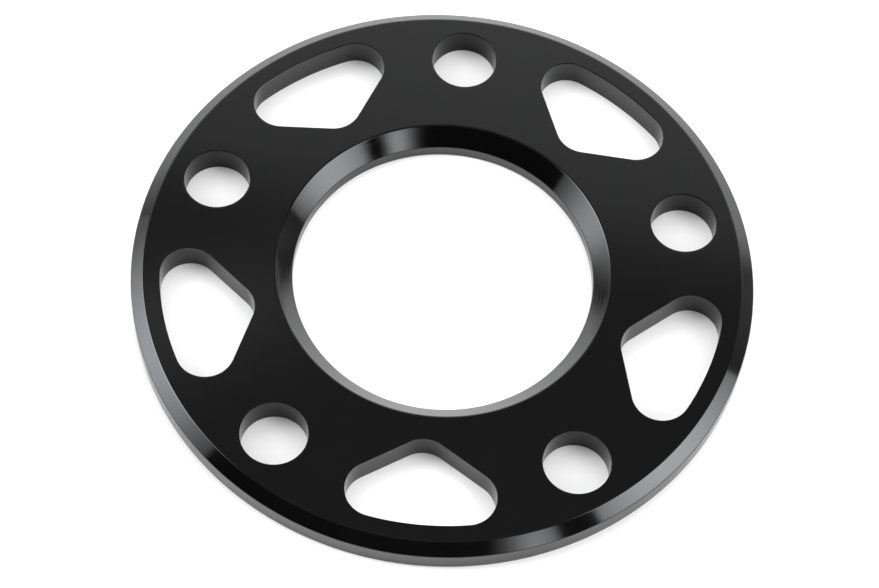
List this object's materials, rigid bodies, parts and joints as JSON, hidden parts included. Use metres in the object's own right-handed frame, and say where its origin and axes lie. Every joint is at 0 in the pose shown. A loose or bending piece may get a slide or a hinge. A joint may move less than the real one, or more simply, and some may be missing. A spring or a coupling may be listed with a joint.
{
  "type": "wheel spacer",
  "caption": "Flat round spacer ring with a chamfered hub bore, bolt holes and rounded lightening windows, clamped between a wheel hub and a wheel to move the wheel outwards.",
  "frame": {"origin": "centre of the ring on its hub-side face, the face that it lies on", "axes": "+Z along the bore, from the hub side to the chamfered wheel side; one bolt hole lies on +Y"},
  "size_m": [0.15, 0.15, 0.0075],
  "materials": {
    "black_anodised": "black anodised, smooth satin faces with fine turning marks, glossier chamfers"
  },
  "bodies": {
    "root": {"spacer_ring": "black_anodised"}
  },
  "joints": []
}
